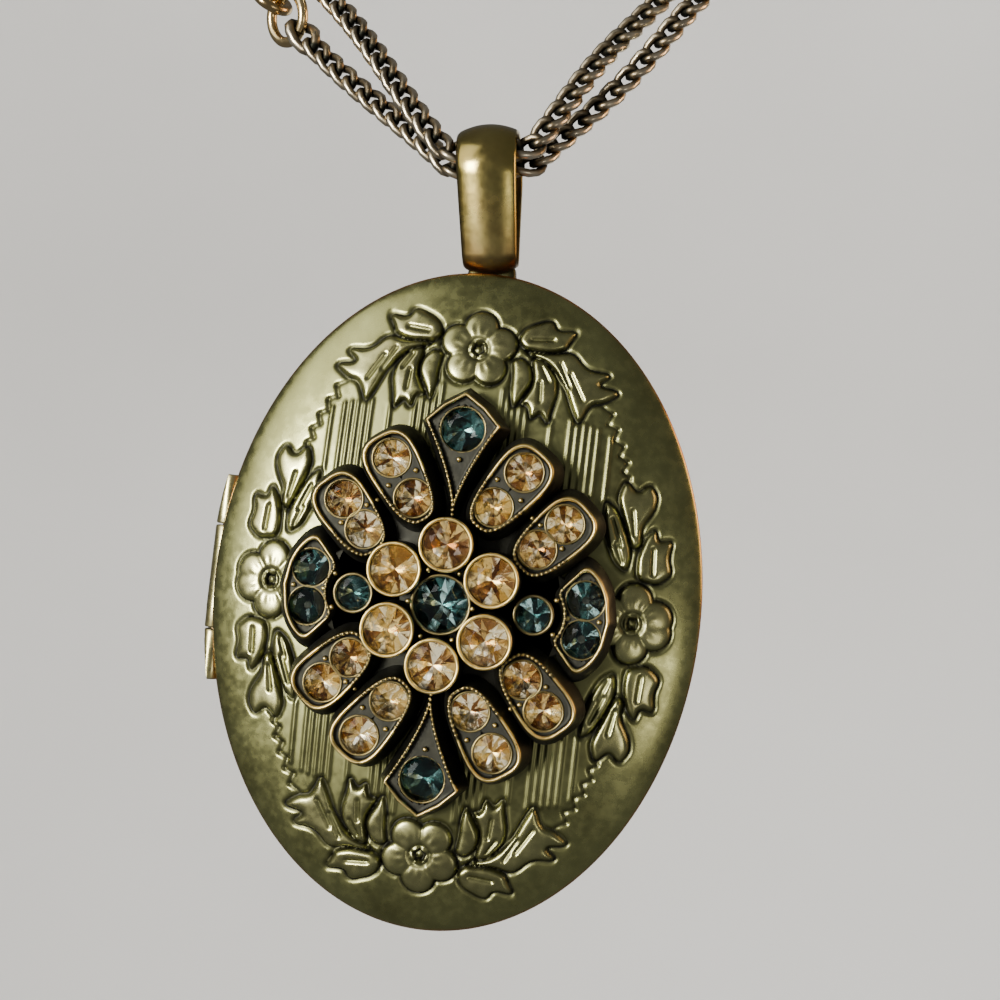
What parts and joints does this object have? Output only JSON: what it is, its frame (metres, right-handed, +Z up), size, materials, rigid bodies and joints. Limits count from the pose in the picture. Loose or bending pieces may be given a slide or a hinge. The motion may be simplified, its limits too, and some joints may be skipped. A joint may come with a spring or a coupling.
{
  "type": "oval locket necklace",
  "caption": "Hinged oval locket with a jewelled cast medallion and a stamped wreath, hung by its bail on a long curb chain wound twice.",
  "frame": {"origin": "the nape, between the two turns at the top of the chain's loop, where a neck or a stand holds it", "axes": "+Z up along the upright locket, +X to the right of someone who looks at its lid, -Y out of the lid"},
  "size_m": [0.1139, 0.0576, 0.1853],
  "materials": {
    "chain_brass": "darkened antique brass, satin, worn bright on the outside of the links",
    "bright_brass": "warm polished brass",
    "antique_brass": "satin antique brass with dark patina in the stamped wreath",
    "hinge_brass": "plain brass wire",
    "cast_brass": "oxidised cast brass, rims rubbed bright",
    "topaz_crystal": "faceted light topaz crystal with a foiled back",
    "teal_crystal": "faceted smoky blue crystal with a foiled back"
  },
  "bodies": {
    "chain": {"chain": "chain_brass", "jump_ring": "bright_brass", "clasp": "bright_brass"},
    "locket_back": {"back_half": "antique_brass", "hinge_pin": "hinge_brass"},
    "lid": {"lid": "antique_brass", "medallion": "cast_brass", "centre_stone_1": "teal_crystal", "bezel_stone_1": "topaz_crystal", "bezel_stone_2": "topaz_crystal", "bezel_stone_3": "topaz_crystal", "bezel_stone_4": "topaz_crystal", "bezel_stone_5": "topaz_crystal", "bezel_stone_6": "topaz_crystal", "petal_a_stone_1": "topaz_crystal", "petal_a_stone_2": "topaz_crystal", "petal_a_stone_3": "topaz_crystal", "petal_a_stone_4": "topaz_crystal", "petal_a_stone_5": "topaz_crystal", "petal_a_stone_6": "topaz_crystal", "petal_a_stone_7": "topaz_crystal", "petal_a_stone_8": "topaz_crystal", "petal_b_stone_1": "topaz_crystal", "petal_b_stone_2": "topaz_crystal", "petal_b_stone_3": "topaz_crystal", "petal_b_stone_4": "topaz_crystal", "petal_b_stone_5": "topaz_crystal", "petal_b_stone_6": "topaz_crystal", "petal_b_stone_7": "topaz_crystal", "petal_b_stone_8": "topaz_crystal", "kite_stone_1": "teal_crystal", "kite_stone_2": "teal_crystal", "fan_stone_1": "teal_crystal", "fan_stone_2": "teal_crystal", "fan_stone_3": "teal_crystal", "fan_stone_4": "teal_crystal", "side_stone_1": "teal_crystal", "side_stone_2": "teal_crystal"}
  },
  "joints": [
    {"name": "bail_swing", "type": "hinge", "parent": "chain", "child": "locket_back", "pos_m": [0.01615, -0.04789, -0.13154], "axis": [0.9925, 0, 0.1219], "range_deg": [-45, 60]},
    {"name": "lid_hinge", "type": "hinge", "parent": "locket_back", "child": "lid", "pos_m": [0.00045, -0.04789, -0.16124], "axis": [0, 0, -1], "range_deg": [0, 150]}
  ]
}
